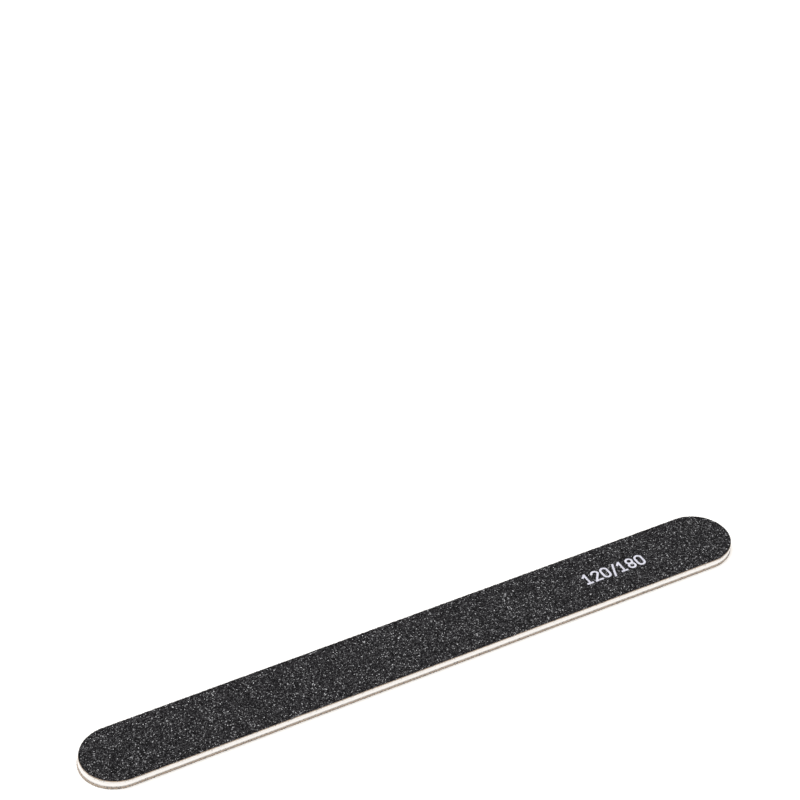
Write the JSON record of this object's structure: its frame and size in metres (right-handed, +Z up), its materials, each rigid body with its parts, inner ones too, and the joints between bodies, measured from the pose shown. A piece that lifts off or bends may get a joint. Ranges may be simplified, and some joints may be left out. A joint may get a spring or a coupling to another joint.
{
  "type": "emery board",
  "caption": "Flat cushioned nail file with round ends, a black grit face on each side, a white foam and plastic core, and a printed grit number near one end.",
  "frame": {"origin": "middle of the underside, on the surface that the board lies on", "axes": "+X along the board towards the end with the printed number, +Y across it, +Z up out of the coarser face"},
  "size_m": [0.18, 0.0186, 0.0026],
  "materials": {
    "grit": "matte",
    "bond_resin": "satin",
    "kraft_paper": "matte",
    "adhesive": "satin",
    "foam": "matte",
    "core_plastic": "satin",
    "ink": "matte"
  },
  "bodies": {
    "root": {"lower_grit": "grit", "lower_bond_coat": "bond_resin", "lower_backing_paper": "kraft_paper", "lower_sheet_adhesive": "adhesive", "lower_cushion": "foam", "lower_core_adhesive": "adhesive", "core_strip": "core_plastic", "upper_core_adhesive": "adhesive", "upper_cushion": "foam", "upper_sheet_adhesive": "adhesive", "upper_backing_paper": "kraft_paper", "upper_bond_coat": "bond_resin", "upper_grit": "grit", "grit_mark": "ink"}
  },
  "joints": []
}
